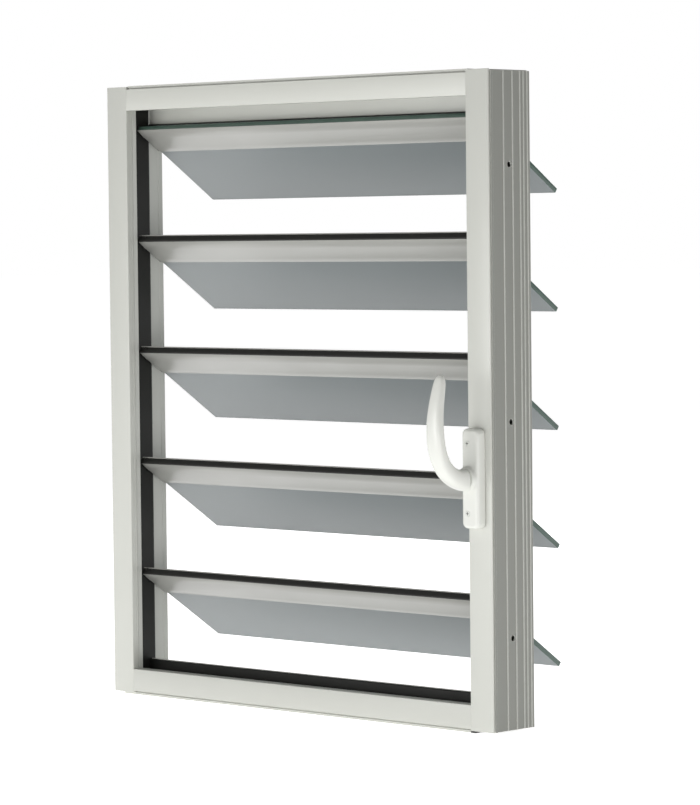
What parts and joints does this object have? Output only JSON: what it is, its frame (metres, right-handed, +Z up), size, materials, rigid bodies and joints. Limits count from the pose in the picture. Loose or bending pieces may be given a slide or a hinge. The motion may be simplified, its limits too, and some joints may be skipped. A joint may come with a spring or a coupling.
{
  "type": "louvre window",
  "caption": "Aluminium louvre window whose glass blades tilt together by a link bar when the J-shaped handle on the jamb is turned.",
  "frame": {"origin": "middle of the underside of the base plate, at mid-depth of the frame", "axes": "+X to the right seen from the room, +Y outdoors, +Z up"},
  "size_m": [0.63, 0.2255, 0.75],
  "materials": {
    "frame_paint": "satin",
    "seal_rubber": "matte",
    "blade_glass": "polished",
    "rail_aluminium": "satin",
    "cap_black": "matte",
    "handle_white": "satin",
    "bush_nylon": "matte",
    "zinc_steel": "zinc plated",
    "key_alloy": "mill"
  },
  "bodies": {
    "frame": {"base_plate": "frame_paint", "drain_plug": "cap_black", "handle_plate": "handle_white", "handle_screws": "zinc_steel", "head": "frame_paint", "head_corner_keys": "key_alloy", "head_seal": "seal_rubber", "left_jamb": "frame_paint", "left_jamb_cover": "frame_paint", "left_jamb_seal": "seal_rubber", "left_pivot_bushes": "bush_nylon", "rack_guide": "bush_nylon", "right_jamb": "frame_paint", "right_jamb_cover": "frame_paint", "right_jamb_seal": "seal_rubber", "right_pivot_bushes": "bush_nylon", "sill": "frame_paint", "sill_corner_keys": "key_alloy", "sill_seal": "seal_rubber", "top_plate": "frame_paint"},
    "louvre_1": {"blade_1_crank": "zinc_steel", "blade_1_glass": "blade_glass", "blade_1_left_cap": "cap_black", "blade_1_rail": "rail_aluminium", "blade_1_right_cap": "cap_black"},
    "louvre_2": {"blade_2_crank": "zinc_steel", "blade_2_glass": "blade_glass", "blade_2_keeper": "rail_aluminium", "blade_2_left_cap": "cap_black", "blade_2_rail": "rail_aluminium", "blade_2_right_cap": "cap_black", "blade_2_top_seal": "seal_rubber"},
    "louvre_3": {"blade_3_crank": "zinc_steel", "blade_3_glass": "blade_glass", "blade_3_keeper": "rail_aluminium", "blade_3_left_cap": "cap_black", "blade_3_rail": "rail_aluminium", "blade_3_right_cap": "cap_black", "blade_3_top_seal": "seal_rubber"},
    "louvre_4": {"blade_4_crank": "zinc_steel", "blade_4_glass": "blade_glass", "blade_4_keeper": "rail_aluminium", "blade_4_left_cap": "cap_black", "blade_4_rail": "rail_aluminium", "blade_4_right_cap": "cap_black", "blade_4_top_seal": "seal_rubber"},
    "louvre_5": {"blade_5_crank": "zinc_steel", "blade_5_glass": "blade_glass", "blade_5_keeper": "rail_aluminium", "blade_5_left_cap": "cap_black", "blade_5_rail": "rail_aluminium", "blade_5_right_cap": "cap_black", "blade_5_top_seal": "seal_rubber"},
    "link": {"link_bar": "zinc_steel"},
    "slide": {"drive_slide": "zinc_steel"},
    "handle": {"handle_spindle": "zinc_steel", "handle_lever": "handle_white"}
  },
  "joints": [
    {"name": "louvre_1_tilt", "type": "hinge", "parent": "frame", "child": "louvre_1", "pos_m": [0, 0.003, 0.6892], "axis": [-1, 0, 0], "range_deg": [0, 52.5]},
    {"name": "louvre_2_tilt", "type": "hinge", "parent": "frame", "child": "louvre_2", "pos_m": [0, 0.003, 0.5522], "axis": [-1, 0, 0], "range_deg": [0, 52.5]},
    {"name": "louvre_3_tilt", "type": "hinge", "parent": "frame", "child": "louvre_3", "pos_m": [0, 0.003, 0.4152], "axis": [-1, 0, 0], "range_deg": [0, 52.5]},
    {"name": "louvre_4_tilt", "type": "hinge", "parent": "frame", "child": "louvre_4", "pos_m": [0, 0.003, 0.2782], "axis": [-1, 0, 0], "range_deg": [0, 52.5]},
    {"name": "louvre_5_tilt", "type": "hinge", "parent": "frame", "child": "louvre_5", "pos_m": [0, 0.003, 0.1412], "axis": [-1, 0, 0], "range_deg": [0, 52.5]},
    {"name": "link_turn", "type": "hinge", "parent": "louvre_1", "child": "link", "pos_m": [0, -0.01135, 0.68212], "axis": [-1, 0, 0], "range_deg": [-52.5, 0]},
    {"name": "slide_rise", "type": "slide", "parent": "frame", "child": "slide", "axis": [0, 0, 1], "range_m": [0, 0.01415]},
    {"name": "handle_turn", "type": "hinge", "parent": "frame", "child": "handle", "pos_m": [0.2906, 0, 0.2895], "axis": [0, -1, 0], "range_deg": [0, 180]}
  ],
  "couplings": [
    {"joint": "louvre_2_tilt", "follows": "louvre_1_tilt", "ratio": 1},
    {"joint": "louvre_3_tilt", "follows": "louvre_1_tilt", "ratio": 1},
    {"joint": "louvre_4_tilt", "follows": "louvre_1_tilt", "ratio": 1},
    {"joint": "louvre_5_tilt", "follows": "louvre_1_tilt", "ratio": 1},
    {"joint": "link_turn", "follows": "louvre_1_tilt", "ratio": -1},
    {"joint": "slide_rise", "follows": "louvre_1_tilt", "m_per_rad": 0.015446},
    {"joint": "handle_turn", "follows": "louvre_1_tilt", "ratio": 3.4286}
  ]
}
